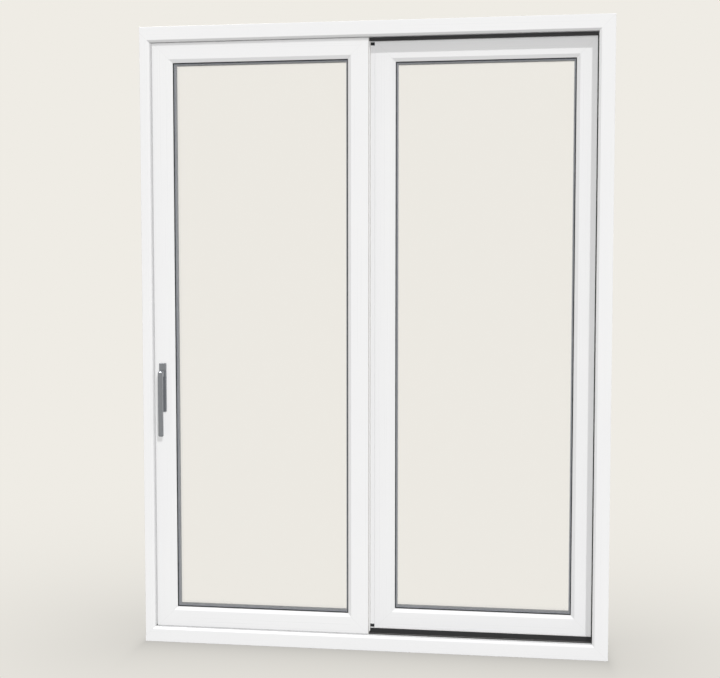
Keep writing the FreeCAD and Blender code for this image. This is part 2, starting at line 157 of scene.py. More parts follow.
def cover(tree, out, inputs):
    """Makes a Principled shader with these inputs the material's surface."""
    shader = add(tree, "BsdfPrincipled", inputs)
    tree.links.new(shader.outputs[0], out.inputs["Surface"])


def dress(material, *names):
    """Gives CAD nodes their finish."""
    for name in names:
        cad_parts[name].material_slots[0].material = material


def begin(shape, **where):
    """A primitive at its size and place, alone in the selection and open for editing."""
    bpy.ops.object.select_all(action="DESELECT")
    getattr(bpy.ops.mesh, "primitive_%s_add" % shape)(**where)
    bpy.ops.object.transform_apply(location=True, rotation=True, scale=True)
    bpy.ops.object.mode_set(mode="EDIT")
    return bpy.context.object


def pick(piece, kind, wanted):
    """Selects the faces, edges or vertices in edit mode that a test of middle and direction wants."""
    bpy.ops.mesh.select_mode(type={"faces": "FACE", "edges": "EDGE", "verts": "VERT"}[kind])
    bpy.ops.mesh.select_all(action="DESELECT")
    mesh = bmesh.from_edit_mesh(piece.data)
    for part in getattr(mesh, kind):
        if kind == "verts":
            chosen = wanted(part.co, part.normal)
        elif kind == "edges":
            start, end = (vert.co for vert in part.verts)
            chosen = wanted((start + end) / 2, end - start)
        else:
            chosen = wanted(part.calc_center_median(), part.normal)
        if chosen:
            part.select_set(True)
    if not any(part.select for part in getattr(mesh, kind)):
        raise RuntimeError("nothing to select on " + piece.name)
    bmesh.update_edit_mesh(piece.data)


def close_up(angle):
    """Finishes the piece in edit mode: merges doubles, turns faces outwards, smooths all but sharp edges."""
    bpy.ops.mesh.select_all(action="SELECT")
    bpy.ops.mesh.remove_doubles(threshold=0.001 * MM)
    bpy.ops.mesh.normals_make_consistent(inside=False)
    bpy.ops.object.mode_set(mode="OBJECT")
    bpy.ops.object.shade_smooth_by_angle(angle=math.radians(angle))


def choose(piece):
    """Makes a piece the active one and the only one in the selection."""
    bpy.ops.object.select_all(action="DESELECT")
    piece.select_set(True)
    bpy.context.view_layer.objects.active = piece


def apply_modifier(piece, kind, **settings):
    """Adds a modifier to a piece and applies it."""
    choose(piece)
    modifier = piece.modifiers.new(kind.lower(), kind)
    for name, value in settings.items():
        setattr(modifier, name, value)
    bpy.ops.object.modifier_apply(modifier=modifier.name)


def soften(piece, width, angle):
    """Bevels the sharp edges of a piece and smooths all but the sharp edges that are left."""
    apply_modifier(piece, "BEVEL", width=width, segments=2, limit_method="ANGLE", angle_limit=SHARP)
    bpy.ops.object.shade_smooth_by_angle(angle=math.radians(angle))


def set_copy(master, name, place, turn):
    """A copy of a finished piece with a mesh of its own, turned and set in place."""
    choose(master)
    bpy.ops.object.duplicate(linked=False)
    piece = bpy.context.object
    piece.name = name
    piece.location = place
    piece.rotation_euler = turn
    bpy.ops.object.transform_apply(location=True, rotation=True, scale=True)
    return piece


def countersunk_screw(radius):
    """A raised countersunk head with a cross recess: its axis along Z, its rim at zero height."""
    depth, foot = 1.6 * MM, 0.62
    head = begin("cylinder", vertices=28, radius=radius, depth=depth, location=(0, 0, -depth / 2))
    pick(head, "faces", lambda middle, way: way.z < -ALONG)
    bpy.ops.transform.resize(value=(foot, foot, 1), center_override=(0, 0, -depth))
    pick(head, "faces", lambda middle, way: way.z > ALONG)
    # The crown's three steps: each one's width as a share of the radius, and its rise in millimetres.
    for share, rise in ((0.16, 0.30), (0.22, 0.20), (0.26, 0.10)):
        bpy.ops.mesh.inset(thickness=share * radius)
        bpy.ops.transform.translate(value=(0, 0, rise * MM))
    close_up(40)
    # Two tapered blades, one across the other, cut the recess.
    size = (1.3 * radius, 0.26 * radius, 2.4 * MM)
    level, tip = 0.5 * MM, 0.45
    for turn in (0, math.pi / 2):
        blade = begin("cube", size=1, scale=size, rotation=(0, 0, turn), location=(0, 0, level))
        pick(blade, "faces", lambda middle, way: way.z < -ALONG)
        bpy.ops.transform.resize(value=(tip, tip, 1), center_override=(0, 0, level - size[2] / 2))
        bpy.ops.object.mode_set(mode="OBJECT")
        apply_modifier(head, "BOOLEAN", object=blade, operation="DIFFERENCE", solver="EXACT")
        bpy.data.objects.remove(blade)
    bpy.ops.object.shade_smooth_by_angle(angle=math.radians(40))
    return head


def hook_bolt(radius, height, thickness):
    """A pressed steel hook: a bar on most of half a circle round Y, with a narrow beak at its end."""
    sweep = math.radians(165)
    hook = begin("plane", size=height, location=(radius, 0, 0))
    pick(hook, "faces", lambda middle, way: True)
    bpy.ops.transform.resize(value=(1, thickness / height, 1), center_override=(radius, 0, 0))
    bpy.ops.mesh.spin(steps=18, angle=sweep, center=(0, 0, 0), axis=(0, -1, 0))
    end = (radius * math.cos(sweep), 0, radius * math.sin(sweep))
    beak = (0.4 * height, 0, -0.8 * height)
    bpy.ops.mesh.extrude_region_move(TRANSFORM_OT_translate={"value": beak})
    bpy.ops.transform.resize(value=(0.45, 0.8, 0.45), center_override=end)
    close_up(35)
    soften(hook, 0.5 * MM, 35)
    return hook


def dust_cup(low, high, wall):
    """A shallow moulded tray from one corner to the other that opens along +X, with soft rims."""
    size = Vector(high) - Vector(low)
    tray = begin("cube", size=1, scale=size, location=(Vector(low) + Vector(high)) / 2)
    pick(tray, "faces", lambda middle, way: way.x > ALONG)
    bpy.ops.mesh.inset(thickness=wall)
    sink = low[0] + wall / 2 - high[0]
    bpy.ops.mesh.extrude_region_move(TRANSFORM_OT_translate={"value": (sink, 0, 0)})
    close_up(30)
    soften(tray, 0.2 * wall, 30)
    return tray


def pile_seal(name, low, high, backing, reach):
    """A strip of pile on a stiff backing, from one corner to the other, that stands out along +Y.

    The pile leans and frays, so its points are shifted a little, always in the same way.
    """
    centre = (Vector(low) + Vector(high)) / 2
    size = Vector(high) - Vector(low)
    place = (centre.x, low[1] + backing / 2, centre.z)
    strip = begin("cube", size=1, scale=(size.x, backing, size.z), location=place)
    # The pile stands in from the backing's edges, and narrows over its last half millimetre.
    tip = 0.5 * MM
    pick(strip, "faces", lambda middle, way: way.y > ALONG)
    bpy.ops.mesh.inset(thickness=0.15 * size.z)
    bpy.ops.mesh.extrude_region_move(TRANSFORM_OT_translate={"value": (0, reach - backing - tip, 0)})
    bpy.ops.mesh.inset(thickness=0.22 * size.z)
    bpy.ops.transform.translate(value=(0, tip, 0))
    for cuts in (80, 4):
        pick(strip, "edges", lambda middle, way: abs(way.x) > ALONG * way.length)
        bpy.ops.mesh.subdivide(number_cuts=cuts)
    root = low[1] + backing + 0.5 * MM
    pick(strip, "verts", lambda spot, way: spot.y > root)
    bpy.ops.transform.vertex_random(offset=0.35 * MM, uniform=0.0, normal=0.0, seed=4)
    close_up(60)
    strip.name = name
    return strip


def mitre_ring(low_x, high_x, low_z, high_z):
    """Centre and half sizes of the rectangle whose corners the mitres of a ring of bars start from."""
    centre = ((low_x + high_x) / 2, (low_z + high_z) / 2)
    half = ((high_x - low_x) / 2, (high_z - low_z) / 2)
    return centre, half


def along_bars(tree, ring):
    """Object coordinates, plain and drawn out along each bar of a mitred ring, and the mitres' distance."""
    centre, half = ring
    # Lines are 250 times as long as they are wide.
    drawn = 1 / 250
    place = own_place(tree)
    part = add(tree, "SeparateXYZ", {"Vector": place})
    from_x = reckon(tree, "SUBTRACT", part.outputs["X"], centre[0])
    from_z = reckon(tree, "SUBTRACT", part.outputs["Z"], centre[1])
    beyond_x = reckon(tree, "ABSOLUTE", from_x)
    beyond_z = reckon(tree, "ABSOLUTE", from_z)
    apart = reckon(tree, "SUBTRACT", beyond_x, beyond_z)
    side = reckon(tree, "SUBTRACT", apart, half[0] - half[1])
    upright = reckon(tree, "GREATER_THAN", side, 0.0)
    level_lines = stretch(tree, place, (drawn, 1, 1))
    upright_lines = stretch(tree, place, (1, 1, drawn))
    lines = add(tree, "Mix", {0: upright, 4: level_lines, 5: upright_lines}, data_type="VECTOR")
    return place, lines.outputs[1], reckon(tree, "ABSOLUTE", side)


def extruded_white_pvc(name, colour, shade, groove_shade, ring, dust=None, shaded_side=None):
    """Rigid PVC pushed through a polished die: a satin white skin with fine lines along the bar.

    The bars are welded at the mitres, and the cleaned weld leaves a shallow groove, sunk with a bump, whose
    grey is painted shade.
    Real die lines are about 0.3 mm apart; they are drawn at 2.5 mm so that a close view shows them.
    A painted shade, in blotches, greys the bar's side at the X given last, in the slit between the leaves,
    where shade falls.
    """
    material, tree, out = new_material(name)
    place, lines, from_mitre = along_bars(tree, ring)
    die_lines = grain(tree, lines, size=2.5 * MM, detail=3.0)
    clouds = grain(tree, place, size=220 * MM, detail=2.0)
    weld = spread(tree, from_mitre, (0.4 * MM, 1.6 * MM), (1.0, 0.0), interpolation_type="SMOOTHSTEP")
    tone = blend(tree, clouds, colour, shade)
    # Painted shade in the weld grooves at the mitres.
    tone = blend(tree, reckon(tree, "MULTIPLY", weld, 0.12), tone, groove_shade)
    if shaded_side is not None:
        # Painted shade, in blotches, on the side of the meeting stile in the slit.
        part = add(tree, "SeparateXYZ", {"Vector": place})
        near = spread(tree, part.outputs["X"], (shaded_side - 1.2 * MM, shaded_side - 0.4 * MM))
        blotches = grain(tree, place, size=60 * MM, detail=4.0)
        shade_strength = spread(tree, blotches, NOISE, (0.8, 1.0))
        tone = blend(tree, reckon(tree, "MULTIPLY", near, shade_strength), tone, dust)
    heights = reckon(tree, "MULTIPLY_ADD", weld, -3.0, die_lines)
    inputs = {
        "Base Color": tone,
        "Roughness": spread(tree, die_lines, NOISE, (0.26, 0.36)),
        "Normal": bumps(tree, heights, strength=0.5, depth=0.03 * MM),
        "IOR": PVC_IOR,
    }
    cover(tree, out, inputs)
    return material


def extruded_black_pvc(name, colour, dust, ring):
    """Dark PVC insert, extruded: a half-matt skin with fine lines. Dust, and painted light from above, pale
    what faces up.

    Real die lines are about 0.3 mm apart; they are drawn at 2 mm so that a close view shows them.
    """
    material, tree, out = new_material(name)
    place, lines, _ = along_bars(tree, ring)
    die_lines = grain(tree, lines, size=2 * MM, detail=3.0)
    blotches = grain(tree, place, size=35 * MM, detail=5.0, Roughness=0.65)
    facing = add(tree, "SeparateXYZ", {"Vector": add(tree, "NewGeometry").outputs["Normal"]})
    # Dust, and painted light from above, pale what faces up.
    upward = spread(tree, facing.outputs["Z"], (0.5, 1.0), (0.0, 0.45))
    dust_and_top_light = reckon(tree, "MULTIPLY", upward, blotches)
    inputs = {
        "Base Color": blend(tree, dust_and_top_light, colour, dust),
        "Roughness": spread(tree, blotches, NOISE, (0.42, 0.6)),
        "Normal": bumps(tree, die_lines, strength=0.5, depth=0.04 * MM),
        "IOR": PVC_IOR,
    }
    cover(tree, out, inputs)
    return material


def extruded_rubber(name, colour, bloom, ring):
    """EPDM rubber, extruded and cured: matt black with a faint grey bloom and drawn-out streaks.

    Real streaks are about 0.3 mm apart; they are drawn at 1.2 mm so that a close view shows them.
    """
    material, tree, out = new_material(name)
    place, lines, _ = along_bars(tree, ring)
    streaks = grain(tree, lines, size=1.2 * MM, detail=2.0)
    patches = grain(tree, place, size=18 * MM, detail=4.0)
    bloomed = spread(tree, patches, (0.45, 0.75), (0.0, 0.5))
    inputs = {
        "Base Color": blend(tree, bloomed, colour, bloom),
        "Roughness": spread(tree, streaks, NOISE, (0.62, 0.8)),
        "Normal": bumps(tree, streaks, strength=0.6, depth=0.05 * MM),
        "IOR": RUBBER_IOR,
    }
    cover(tree, out, inputs)
    return material


def float_glass(name, tint):
    """Toughened float glass: clear, mirror smooth, with the slow roller waves of the toughening oven.

    The waves are about 300 mm apart. Lamp light passes straight through, as it does through a real pane.
    """
    material, tree, out = new_material(name)
    waves = grain(tree, own_place(tree), size=300 * MM, detail=0.0)
    inputs = {
        "Base Color": tint,
        "Roughness": 0.0,
        "IOR": GLASS_IOR,
        "Transmission Weight": 1.0,
        "Normal": bumps(tree, waves, strength=0.2, depth=0.05 * MM),
    }
    pane = add(tree, "BsdfPrincipled", inputs)
    open_way = add(tree, "BsdfTransparent", {"Color": tint})
    lamp = add(tree, "LightPath").outputs["Is Shadow Ray"]
    both = add(tree, "MixShader", {0: lamp, 1: pane.outputs[0], 2: open_way.outputs[0]})
    tree.links.new(both.outputs[0], out.inputs["Surface"])
    return material


def perforated_spacer(name, colour, hole_shade, middles):
    """Warm-edge spacer bar of grey composite, rolled: smooth, with two rows of fine vent holes.

    middles are the depths of the bars' centre lines.
    """
    hole_step, row_step = 4 * MM, 3 * MM
    front, back = middles
    material, tree, out = new_material(name)
    place = own_place(tree)
    part = add(tree, "SeparateXYZ", {"Vector": place})
    run = reckon(tree, "ADD", part.outputs["X"], part.outputs["Z"])
    from_hole = reckon(tree, "PINGPONG", run, hole_step / 2)
    from_front = reckon(tree, "SUBTRACT", part.outputs["Y"], front)
    from_middle = reckon(tree, "PINGPONG", from_front, (back - front) / 2)
    from_row = reckon(tree, "SUBTRACT", from_middle, row_step / 2)
    spot = add(tree, "CombineXYZ", {"X": from_hole, "Y": from_row})
    reach = add(tree, "VectorMath", {0: spot.outputs[0]}, operation="LENGTH")
    vent = spread(tree, reach.outputs["Value"], (0.3 * MM, 0.55 * MM), (1.0, 0.0))
    rolled = grain(tree, place, size=6 * MM, detail=3.0)
    # The vent holes get a dark painted shade inside them; the same dark clouds the bar a little at random.
    tone = blend(tree, spread(tree, rolled, NOISE, (0.0, 0.2)), colour, hole_shade)
    sink = reckon(tree, "MULTIPLY", vent, -1.0)
    inputs = {
        "Base Color": blend(tree, vent, tone, hole_shade),
        "Roughness": spread(tree, rolled, NOISE, (0.38, 0.5)),
        "Normal": bumps(tree, sink, strength=0.8, depth=0.3 * MM),
        "IOR": COMPOSITE_IOR,
    }
    cover(tree, out, inputs)
    return material


def zinc_plated_steel(name, colour, dull, line_share):
    """Steel, bright zinc plated: a cool silver skin with cloudy patches and the marks of its making.

    line_share is a mark's width to its height: small for sheet, which the rolls mark with upright lines,
    and one for cold headed screws and pressed hooks, which get fine grain instead. Real marks are about
    0.1 mm apart; they are drawn at 0.8 mm so that a close view shows them.
    """
    material, tree, out = new_material(name)
    place = own_place(tree)
    rolling = grain(tree, stretch(tree, place, (1, 1, line_share)), size=0.8 * MM, detail=2.0)
    clouds = grain(tree, place, size=30 * MM, detail=2.0)
    wear = reckon(tree, "ADD", rolling, clouds)
    worn = (0.75, 1.25)
    inputs = {
        "Base Color": blend(tree, spread(tree, wear, worn), colour, dull),
        "Metallic": 1.0,
        "Roughness": spread(tree, wear, worn, (0.25, 0.38)),
        "Normal": bumps(tree, rolling, strength=0.5, depth=0.03 * MM),
    }
    cover(tree, out, inputs)
    return material


def moulded_nylon(name, colour, shade):
    """Injection moulded nylon: a little waxy, in white or black, with faint flow marks."""
    material, tree, out = new_material(name)
    place = own_place(tree)
    flow = grain(tree, place, size=9 * MM, detail=3.0, Distortion=0.8)
    fine = grain(tree, place, size=0.5 * MM, detail=2.0)
    inputs = {
        "Base Color": blend(tree, flow, colour, shade),
        "Roughness": spread(tree, flow, NOISE, (0.36, 0.5)),
        "Normal": bumps(tree, fine, strength=0.3, depth=0.03 * MM),
        "IOR": NYLON_IOR,
    }
    cover(tree, out, inputs)
    return material


def woven_pile(name, colour, shade):
    """Polypropylene pile, woven and clipped: dull charcoal fibres that stand side by side.

    Real fibres are about 0.05 mm thick; they are drawn at 0.5 mm so that a close view shows them.
    """
    material, tree, out = new_material(name)
    place = own_place(tree)
    fibres = grain(tree, stretch(tree, place, (1, 0.08, 1)), size=0.5 * MM, detail=2.0)
    tufts = grain(tree, place, size=5 * MM, detail=3.0)
    # Painted shade between the fibres, and painted light on their tops.
    lit = spread(tree, reckon(tree, "MULTIPLY", fibres, tufts), (0.12, 0.4))
    inputs = {
        "Base Color": blend(tree, lit, shade, colour),
        "Roughness": 0.85,
        "Normal": bumps(tree, fibres, strength=0.7, depth=0.25 * MM),
        "IOR": PILE_IOR,
        "Sheen Weight": 0.25,
        "Sheen Roughness": 0.5,
    }
    cover(tree, out, inputs)
    return material


def lacquered_zinc(name, colour, flake):
    """Die-cast zinc, polished and sprayed with a silver-grey lacquer: even grey with a soft metal glint.

    Real flakes are about 0.03 mm across; they are drawn at 0.3 mm so that a close view shows them.
    A clear coat over them keeps highlights sharp, and the spray leaves a faint orange-peel ripple.
    """
    material, tree, out = new_material(name)
    place = own_place(tree)
    flakes = add(tree, "TexVoronoi", {"Vector": place, "Scale": 1 / (0.3 * MM)})
    shine = add(tree, "SeparateColor", {"Color": flakes.outputs["Color"]})
    peel = grain(tree, place, size=1.5 * MM, detail=2.0)
    inputs = {
        "Base Color": blend(tree, shine.outputs[1], colour, flake),
        "Metallic": spread(tree, shine.outputs[0], (0.3, 1.0), (0.3, 0.8)),
        "Roughness": 0.34,
        "Coat Weight": 0.6,
        "Coat Roughness": 0.25,
        "Coat Normal": bumps(tree, peel, strength=0.25, depth=0.02 * MM),
    }
    cover(tree, out, inputs)
    return material


frame_low, frame_high = cad_box
jamb_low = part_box("frame_lock_jamb")[0]
sliding_low, sliding_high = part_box("sliding_lock_stile")[0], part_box("sliding_meeting_stile")[1]
fixed_low, fixed_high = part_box("fixed_meeting_stile")[0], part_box("fixed_jamb_stile")[1]
# The lock jamb is narrower than the other bars, so its mitres start beyond its outer edge.
frame_ring = mitre_ring(jamb_low[0] - jamb_low[2], frame_high[0], frame_low[2], frame_high[2])
sliding_ring = mitre_ring(sliding_low[0], sliding_high[0], sliding_low[2], sliding_high[2])
fixed_ring = mitre_ring(fixed_low[0], fixed_high[0], fixed_low[2], fixed_high[2])


def colour_property(name, description, default):
    """A colour that a user can change, from its sRGB hex code."""
    return bpy.props.FloatVectorProperty(
        name=name, description=description, default=linear(default), size=4, min=0, max=1, subtype="COLOR"
    )


def length_property(name, description, default, least=0):
    """A length in metres that a user can change."""
    return bpy.props.FloatProperty(
        name=name, description=description, default=default, min=least, unit="LENGTH"
    )


def angle_property(name, description, default):
    """An angle that a user can change, from degrees."""
    return bpy.props.FloatProperty(
        name=name, description=description, default=math.radians(default), subtype="ANGLE"
    )


def place_property(name, description, default):
    """A place that a user can change."""
    return bpy.props.FloatVectorProperty(
        name=name, description=description, default=default, subtype="XYZ", unit="LENGTH"
    )


def strength_property(name, description, default):
    """A light's strength that a user can change."""
    return bpy.props.FloatProperty(name=name, description=description, default=default, min=0)


class PatioFinishes(bpy.types.PropertyGroup):
    """Colours of the door's materials."""

    pvc: colour_property("PVC", "White of the extruded profiles", "#F3F3F3")
    pvc_shade: colour_property("PVC shade", "Slightly greyer white that clouds the profiles", "#F0F0F1")
    # Painted shade in the weld grooves.
    pvc_groove_shade: colour_property("PVC weld", "Grey of the cleaned welds at the mitres", "#B9B9B7")
    # Painted shade on the side of the sliding meeting stile, in the slit between the leaves.
    pvc_slit_shade: colour_property("PVC slit shade", "Dust on the side of the sliding meeting stile", "#CFCDC8")
    insert: colour_property("Insert", "Black of the channel inserts", "#323233")
    # Dust, and painted light from above, on the inserts' upward faces.
    insert_dust_and_top_light: colour_property("Insert dust and top light", "Dust that settles on the inserts", "#A3A09B")
    rubber: colour_property("Rubber", "Black of the gaskets", "#202122")
    rubber_bloom: colour_property("Rubber bloom", "Grey bloom on the gaskets", "#45474A")
    glass: colour_property("Glass", "Tint of one face of a pane", "#FEFEFE")
    spacer: colour_property("Spacer", "Grey of the spacer bars", "#8E9197")
    # Painted shade inside the vent holes.
    spacer_hole: colour_property("Spacer holes", "Dark of the vent holes", "#4C4E52")
    zinc: colour_property("Zinc", "Bright zinc plating", "#C9CBCD")
    zinc_dull: colour_property("Dull zinc", "Duller patches of the plating", "#B8BBBF")
    nylon: colour_property("Nylon", "Wheels and guide shoes", "#E4E0D4")
    nylon_shade: colour_property("Nylon shade", "Flow marks of the moulding", "#D8D3C5")
    handle: colour_property("Handle", "Grey of the handle's lacquer", "#797C81")
    handle_flake: colour_property("Handle flakes", "Lighter flakes in the lacquer", "#86898E")
    # Black of the cups, which also stands in for painted shade inside the strike slots.
    cup: colour_property("Dust cups", "Black of the cups in the strike plates", "#232425")
    cup_shade: colour_property("Dust cup flow marks", "Flow marks in the cups", "#303133")
    pile: colour_property("Pile", "Fibres of the pile seals", "#5A5C5F")
    # Painted shade between the pile's fibres.
    pile_shade: colour_property("Pile shade", "Dark between the fibres", "#2E2F31")


class PatioFittings(bpy.types.PropertyGroup):
    """Sizes of the small fittings."""

    screw: length_property("Screw heads", "Radius of a lock screw's head", 3.6 * MM)
    plate_screw_edge: length_property("Screw from end", "Distance of a screw from its plate's end", 13 * MM)
    hook: length_property("Hook", "Radius of a hook bolt's bend", 8.5 * MM)
    hook_height: length_property("Hook height", "Height of a hook bolt's bar", 5.5 * MM)
    hook_thickness: length_property("Hook thickness", "Thickness of a hook bolt", 5 * MM)
    cup_wall: length_property("Cup wall", "Thickness of a dust cup's wall", 1.1 * MM)
    pile_width: length_property("Pile width", "Width of a pile seal's backing", 6.5 * MM)
    pile_reach: length_property("Pile reach", "How far a pile seal stands out", 4 * MM)
    pile_backing: length_property("Pile backing", "Thickness of a pile seal's backing", 0.6 * MM)


class PatioStudio(bpy.types.PropertyGroup):
    """Camera and light."""

    background: colour_property("Background", "Pale floor and backdrop", "#EFECE5")
    contact: colour_property("Contact shade", "Floor right beside the door", "#C4C2BD")
    contact_reach: length_property(
        "Contact reach", "Distance in which the shade on the floor fades by two thirds", 0.65, least=0.1
    )
    camera_place: place_property("Camera", "Where the camera stands", (0.4705, -3.857, 1.2834))
    camera_tilt: angle_property("Tilt", "Camera's angle below the horizon", 3.428)
    camera_turn: angle_property("Turn", "Camera's angle to the left", 7.66)
    lens: bpy.props.FloatProperty(
        name="Lens", description="Focal length on a 36 mm wide sensor", default=57.24, min=1, unit="CAMERA"
    )
    key_place: place_property("Key light", "Where the key light stands", (1.7, -5.55, 4.15))
    key: strength_property("Key strength", "Light that casts the shadows", 0.81)
    from_room: strength_property("Fill from the room", "Soft light on the room side", 2.08)
    from_garden: strength_property("Fill from the garden", "Soft light on the outside", 0.1)
    from_left: strength_property("Fill from the left", "Soft light on what faces left", 1.94)
    from_right: strength_property("Fill from the right", "Soft light on what faces right", 2.2)
    from_above: strength_property("Fill from above", "Soft light on what faces up", 1.4)
    from_below: strength_property("Fill from below", "Soft light on what faces down", 0.2)
    haze: strength_property("Haze", "Even light from all round", 0.1)


class PATIO_OT_profiles(bpy.types.Operator):
    """Finishes the white bars of the outer frame and of both leaves"""

    bl_idname = "patio.profiles"
    bl_label = "White profiles"

    def execute(self, context):
        finishes = context.scene.patio_finishes
        tones = (finishes.pvc, finishes.pvc_shade, finishes.pvc_groove_shade)
        outer = extruded_white_pvc("extruded_white_pvc_frame", *tones, frame_ring)
        dress(outer, "frame_sill", "frame_head", "frame_lock_jamb", "frame_far_jamb", "lock_jamb_lining")
        # Painted shade on the side of the meeting stile in the slit.
        slit = (finishes.pvc_slit_shade, sliding_high[0])
        sliding = extruded_white_pvc("extruded_white_pvc_sliding_leaf", *tones, sliding_ring, *slit)
        dress(sliding, "sliding_bottom_rail", "sliding_top_rail", "sliding_lock_stile")
        dress(sliding, "sliding_meeting_stile", "sliding_glazing_beads", "sliding_interlock")
        fixed = extruded_white_pvc("extruded_white_pvc_fixed_leaf", *tones, fixed_ring)
        dress(fixed, "fixed_bottom_rail", "fixed_top_rail", "fixed_jamb_stile")
        dress(fixed, "fixed_meeting_stile", "fixed_glazing_beads", "fixed_interlock")
        return {"FINISHED"}


class PATIO_OT_channels(bpy.types.Operator):
    """Finishes the black inserts of the channels"""

    bl_idname = "patio.channels"
    bl_label = "Channel inserts"

    def execute(self, context):
        finishes = context.scene.patio_finishes
        insert = extruded_black_pvc("extruded_black_pvc", finishes.insert, finishes.insert_dust_and_top_light, frame_ring)
        dress(insert, "bottom_track", "top_guide_track", "far_jamb_lining")
        dress(insert, "rear_sill_strip", "rear_head_strip", "fixed_leaf_packers")
        rubber = extruded_rubber("moulded_epdm_rubber", finishes.rubber, finishes.rubber_bloom, frame_ring)
        dress(rubber, "meeting_seal_blocks")
        return {"FINISHED"}


class PATIO_OT_glazing(bpy.types.Operator):
    """Finishes the panes, the spacer bars between them and the gaskets round them"""

    bl_idname = "patio.glazing"
    bl_label = "Glazing"

    def execute(self, context):
        finishes = context.scene.patio_finishes
        glass = float_glass("toughened_float_glass", finishes.glass)
        blacks = (finishes.rubber, finishes.rubber_bloom)
        greys = (finishes.spacer, finishes.spacer_hole)
        for leaf, ring in (("sliding", sliding_ring), ("fixed", fixed_ring)):
            panes = ("_room_pane", "_middle_pane", "_outside_pane")
            dress(glass, *(leaf + pane for pane in panes))
            rubber = extruded_rubber("extruded_epdm_rubber_" + leaf, *blacks, ring)
            dress(rubber, leaf + "_room_gasket", leaf + "_outside_gasket")
            room, middle, outside = (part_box(leaf + pane) for pane in panes)
            middles = (room[1][1] + middle[0][1]) / 2, (middle[1][1] + outside[0][1]) / 2
            spacer = perforated_spacer("rolled_composite_spacer_" + leaf, *greys, middles)
            dress(spacer, leaf + "_glass_spacers")
        return {"FINISHED"}


class PATIO_OT_ironmongery(bpy.types.Operator):
    """Finishes the lock plates, the roller gear and the handle"""

    bl_idname = "patio.ironmongery"
    bl_label = "Ironmongery"

    def execute(self, context):
        finishes = context.scene.patio_finishes
        zinc = zinc_plated_steel("zinc_plated_sheet_steel", finishes.zinc, finishes.zinc_dull, SHEET_MARK)
        dress(zinc, "lock_faceplate", "lock_strike_plates", "roller_housings")
        nylon = moulded_nylon("moulded_nylon", finishes.nylon, finishes.nylon_shade)
        dress(nylon, "roller_wheels", "top_guide_shoes")
        grey = lacquered_zinc("silver_lacquered_zinc", finishes.handle, finishes.handle_flake)
        dress(grey, "handle_backplate", "handle_lever")
        return {"FINISHED"}


class PATIO_OT_lock_screws(bpy.types.Operator):
    """Adds the screws of the lock's faceplate and of its three strike plates"""

    bl_idname = "patio.lock_screws"
    bl_label = "Lock screws"

    def execute(self, context):
        finishes = context.scene.patio_finishes
        fittings = context.scene.patio_fittings
        zinc = zinc_plated_steel("zinc_plated_screw_steel", finishes.zinc, finishes.zinc_dull, PRESSED_MARK)
        head = countersunk_screw(fittings.screw)
        head.data.materials.append(zinc)
        edge = fittings.plate_screw_edge
        spots = []
        plate_low, plate_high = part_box("lock_faceplate")
        foot, top = plate_low[2] + edge, plate_high[2] - edge
        count = 6
        for i in range(count):
            level = foot + i * (top - foot) / (count - 1)
            spots.append(("faceplate_screw_%d" % (i + 1), plate_low[0], level, -1, "sliding_leaf"))
        strike_low, strike_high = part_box("lock_strike_plates")
        height = strike_high[2] - strike_low[2] - 2 * LOCK_STEP
        for i in range(3):
            base = strike_low[2] + i * LOCK_STEP
            for end, level in (("low", base + edge), ("high", base + height - edge)):
                spots.append(("strike_screw_%d_%s" % (i + 1, end), strike_high[0], level, 1, "frame"))
        across = (plate_low[1] + plate_high[1]) / 2
        # Each cross ends up at its own angle, as hand driven screws do.
        twist = 0.7
        for i, (name, face, level, way, body) in enumerate(spots):
            turn = Matrix.Rotation(way * math.pi / 2, 3, "Y") @ Matrix.Rotation(twist * i, 3, "Z")
            screw = set_copy(head, name, (face, across, level), turn.to_euler())
            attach(screw, body)
        bpy.data.objects.remove(head)
        return {"FINISHED"}


class PATIO_OT_lock_hooks(bpy.types.Operator):
    """Adds the three hook bolts that lie swung back behind the slots of the lock's faceplate"""

    bl_idname = "patio.lock_hooks"
    bl_label = "Lock hooks"

    def execute(self, context):
        finishes = context.scene.patio_finishes
        fittings = context.scene.patio_fittings
        zinc = zinc_plated_steel("zinc_plated_hook_steel", finishes.zinc, finishes.zinc_dull, PRESSED_MARK)
        master = hook_bolt(fittings.hook, fittings.hook_height, fittings.hook_thickness)
        master.data.materials.append(zinc)
        low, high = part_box("lock_faceplate")
        play = 0.5 * MM
        centre = high[0] + fittings.hook + fittings.hook_height / 2 + play
        across = (low[1] + high[1]) / 2
        middle = (low[2] + high[2]) / 2
        swung_back = (0, math.radians(-82), 0)
        for i in (-1, 0, 1):
            place = (centre, across, middle + i * LOCK_STEP)
            hook = set_copy(master, "hook_bolt_%d" % (i + 2), place, swung_back)
            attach(hook, "sliding_leaf")
        bpy.data.objects.remove(master)
        return {"FINISHED"}


class PATIO_OT_dust_cups(bpy.types.Operator):
    """Adds the black cups that line the slots of the strike plates"""

    bl_idname = "patio.dust_cups"
    bl_label = "Dust cups"

    def execute(self, context):
        finishes = context.scene.patio_finishes
        fittings = context.scene.patio_fittings
        # The cups are black nylon, and their black also stands in for the shade inside the strike slots, as
        # painted shade.
        nylon = moulded_nylon("moulded_black_nylon", finishes.cup, finishes.cup_shade)
        strike_low, strike_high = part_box("lock_strike_plates")
        across = (strike_low[1] + strike_high[1]) / 2
        middle = (strike_low[2] + strike_high[2]) / 2
        # A cup lies a little below the plate's face and has play all round.
        play, sunk = 0.1 * MM, 0.3 * MM
        half = (HOOK_SLOT[0] / 2 - play, HOOK_SLOT[1] / 2 - play)
        low = (strike_low[0], across - half[0], middle - half[1])
        high = (strike_high[0] - sunk, across + half[0], middle + half[1])
        master = dust_cup(low, high, fittings.cup_wall)
        master.data.materials.append(nylon)
        for i in (-1, 0, 1):
            cup = set_copy(master, "strike_dust_cup_%d" % (i + 2), (0, 0, i * LOCK_STEP), (0, 0, 0))
            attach(cup, "frame")
        bpy.data.objects.remove(master)
        return {"FINISHED"}


